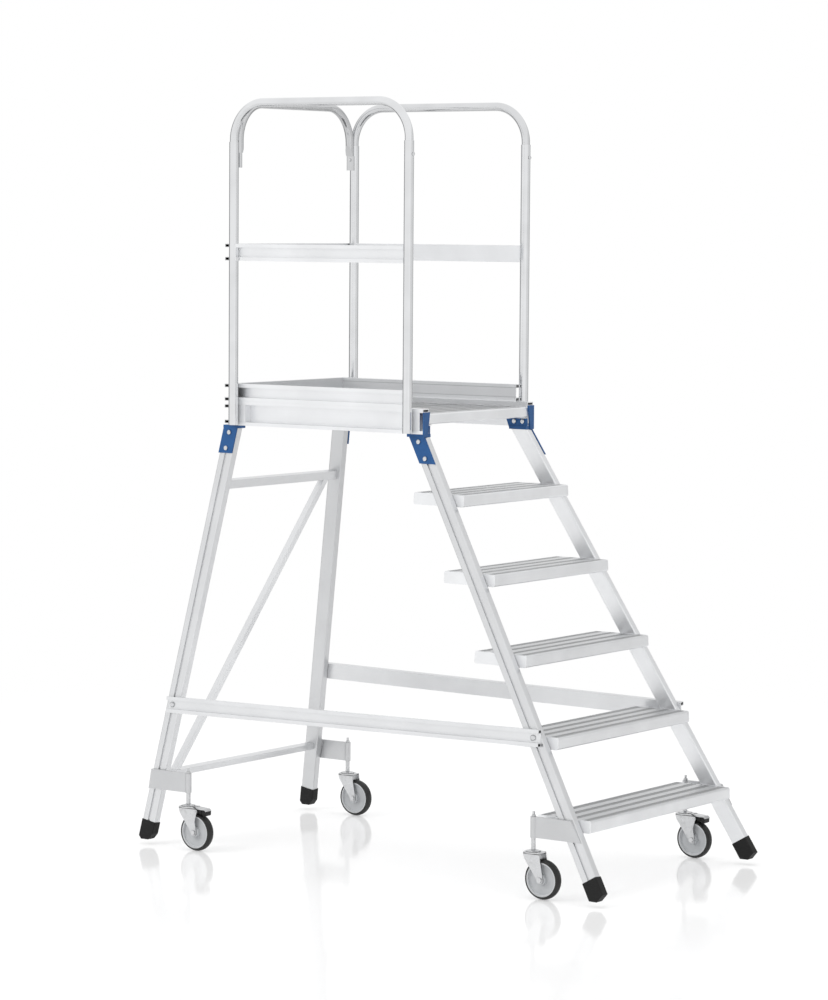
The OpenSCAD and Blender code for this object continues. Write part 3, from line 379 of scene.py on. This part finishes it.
# How far the forks' painted shadow ring lies below their top
SHADOW_RING_DROP = 0.005
for end in ("front", "rear"):
    for side in ("left", "right"):
        tag = end + "_" + side
        low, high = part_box("wheel_hub_" + tag)
        centre = tuple((a + b) / 2 for a, b in zip(low, high))
        coat(["wheel_hub_" + tag], hub_plastic("hub_" + tag, centre))
        coat(["tyre_" + tag], tyre_rubber("tyre_" + tag, centre))
        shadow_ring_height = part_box("castor_fork_" + tag)[1][2] - SHADOW_RING_DROP
        coat(["castor_fork_" + tag], zinc("fork_" + tag, 0.66, 0.26, shadow_ring_height))
        coat(["castor_stem_" + tag], zinc("stem_" + tag, 0.64, 0.22))
for tag in ("front_right", "rear_left"):
    coat(["brake_pedal_" + tag], zinc("pedal_" + tag, 0.64, 0.28))
    coat(["brake_block_" + tag], rubber("block_" + tag, 0.012, 0.55, 800.0))


# Strength of the world's light on the object; rays that are seen get white
SKY_LIGHT = 0.62
# The floor's own glow in what is seen, and its share of mirror image
FLOOR_GLOW = 0.44
FLOOR_GLOSS = 0.28
# Distances over which the floor fades into the white around it
FLOOR_NEAR = 2.0
FLOOR_FAR = 4.5
CARD_DISTANCE = 6.0
CARD_HEIGHT = 1.6


def add_floor():
    """Pale floor with a faint mirror image of what stands on it, which fades into the white around it."""
    bpy.ops.mesh.primitive_plane_add(size=2.2 * FLOOR_FAR)
    floor = bpy.context.object
    floor.name = "floor"
    s = Shader("floor")
    speck = s.noise(s.place, 3.0, 2.0)
    diffuse = s.add("ShaderNodeBsdfDiffuse")
    s.link(s.mix(speck, (0.80, 0.80, 0.80), (0.82, 0.82, 0.82)), diffuse.inputs["Color"])
    glow = s.add("ShaderNodeEmission")
    s.link(s.remap(s.seen(), 0.0, 1.0, 0.0, FLOOR_GLOW), glow.inputs["Strength"])
    pale = s.add("ShaderNodeAddShader")
    s.link(diffuse.outputs[0], pale.inputs[0])
    s.link(glow.outputs[0], pale.inputs[1])
    gloss = s.add("ShaderNodeBsdfGlossy")
    gloss.inputs["Color"].default_value = (1.0, 1.0, 1.0, 1.0)
    gloss.inputs["Roughness"].default_value = 0.10
    near = s.add("ShaderNodeMixShader")
    near.inputs[0].default_value = FLOOR_GLOSS
    s.link(pale.outputs[0], near.inputs[1])
    s.link(gloss.outputs[0], near.inputs[2])
    distance = s.add("ShaderNodeVectorMath", operation="LENGTH")
    s.link(s.place, distance.inputs[0])
    away = s.remap(distance.outputs["Value"], FLOOR_NEAR, FLOOR_FAR, 0.0, 1.0, "SMOOTHSTEP")
    clear = s.add("ShaderNodeBsdfTransparent")
    s.blend_into_output(away, near.outputs[0], clear.outputs[0])
    # Only rays that meet the floor find its glow, so reflections show it in full
    s.material.cycles.emission_sampling = "NONE"
    floor.data.materials.append(s.material)


def add_card(name, way, size, tone):
    """Grey card with soft edges that only reflections see, so that bright metal shows its shape."""
    bpy.ops.mesh.primitive_plane_add(size=2.0)
    card = bpy.context.object
    card.name = name
    card.location = Vector(way).normalized() * CARD_DISTANCE + Vector((0.0, 0.0, CARD_HEIGHT))
    card.rotation_euler = Vector(way).to_track_quat("Z", "Y").to_euler()
    card.scale = (size[0] / 2, size[1] / 2, 1.0)
    card.visible_camera = card.visible_diffuse = card.visible_shadow = False
    s = Shader(name)
    x, y, _ = s.split(s.place)
    glow = s.add("ShaderNodeEmission")
    glow.inputs["Strength"].default_value = tone
    clear = s.add("ShaderNodeBsdfTransparent")
    edge = s.remap(s.length(x, y), 0.35, 1.0, 0.0, 1.0, "SMOOTHSTEP")
    s.blend_into_output(edge, glow.outputs[0], clear.outputs[0])
    card.data.materials.append(s.material)


def add_world():
    """White behind the object and in its reflections, and a plain soft light on it."""
    world = bpy.data.worlds.new("studio")
    bpy.context.scene.world = world
    world.use_nodes = True
    tree = world.node_tree
    path = tree.nodes.new("ShaderNodeLightPath")
    seen = tree.nodes.new("ShaderNodeMath")
    seen.operation = "MAXIMUM"
    mirrored = tree.nodes.new("ShaderNodeMath")
    mirrored.operation = "MAXIMUM"
    strength = tree.nodes.new("ShaderNodeMapRange")
    strength.inputs["To Min"].default_value = SKY_LIGHT
    strength.inputs["To Max"].default_value = 1.0
    background = tree.nodes["Background"]
    background.inputs["Color"].default_value = (1.0, 1.0, 1.0, 1.0)
    tree.links.new(path.outputs["Is Glossy Ray"], mirrored.inputs[0])
    tree.links.new(path.outputs["Is Transmission Ray"], mirrored.inputs[1])
    tree.links.new(path.outputs["Is Camera Ray"], seen.inputs[0])
    tree.links.new(mirrored.outputs[0], seen.inputs[1])
    tree.links.new(seen.outputs[0], strength.inputs["Value"])
    tree.links.new(strength.outputs["Result"], background.inputs["Strength"])


def add_softbox(name, place, target, size, watts):
    data = bpy.data.lights.new(name, "AREA")
    data.shape = "DISK"
    data.size = size
    data.energy = watts
    lamp = bpy.data.objects.new(name, data)
    bpy.context.collection.objects.link(lamp)
    lamp.location = place
    lamp.visible_glossy = False
    lamp.rotation_euler = (Vector(target) - Vector(place)).to_track_quat("-Z", "Y").to_euler()


add_floor()
add_world()
add_card("right_card", (0.86, 0.50, 0.0), (11.0, 9.0), 0.80)
add_card("back_card", (0.13, 0.99, 0.0), (6.0, 9.0), 0.45)
add_card("left_card", (-1.0, -0.12, 0.0), (5.0, 9.0), 0.25)
add_softbox("key", (-3.6, -5.2, 4.6), (0.0, 0.0, 1.1), 3.6, 110.0)
add_softbox("top", (0.4, 0.4, 6.2), (0.0, 0.0, 0.8), 3.0, 60.0)


# The photograph's camera: its turn, pitch and roll in degrees, its place from the front posts and its lens
CAMERA_ANGLES = (35.4403, 4.5315, 0.4064)
CAMERA_PLACE = (6.5065, -9.4318, 2.0762)
CAMERA_LENS = 127.675
POST_RADIUS = 0.016


def add_camera():
    """The photograph's camera, found from the object's straight edges."""
    azimuth, pitch, roll = (math.radians(a) for a in CAMERA_ANGLES)
    level = Vector((math.cos(azimuth), math.sin(azimuth), 0.0))
    ahead = Vector((-math.sin(azimuth), math.cos(azimuth), 0.0))
    forward = math.cos(pitch) * ahead - Vector((0.0, 0.0, math.sin(pitch)))
    rise = level.cross(forward)
    right = math.cos(roll) * level + math.sin(roll) * rise
    up = -math.sin(roll) * level + math.cos(roll) * rise
    data = bpy.data.cameras.new("camera")
    data.sensor_width = 36.0
    data.lens = CAMERA_LENS
    data.clip_end = 200.0
    camera = bpy.data.objects.new("camera", data)
    bpy.context.collection.objects.link(camera)
    front_post_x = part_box("guard_posts")[1][0] - POST_RADIUS
    place = Vector(CAMERA_PLACE) + Vector((front_post_x, 0.0, 0.0))
    turn = Matrix((right, up, -forward)).transposed().to_4x4()
    camera.matrix_world = Matrix.Translation(place) @ turn
    bpy.context.scene.camera = camera


add_camera()
bpy.context.scene.view_settings.view_transform = "Standard"
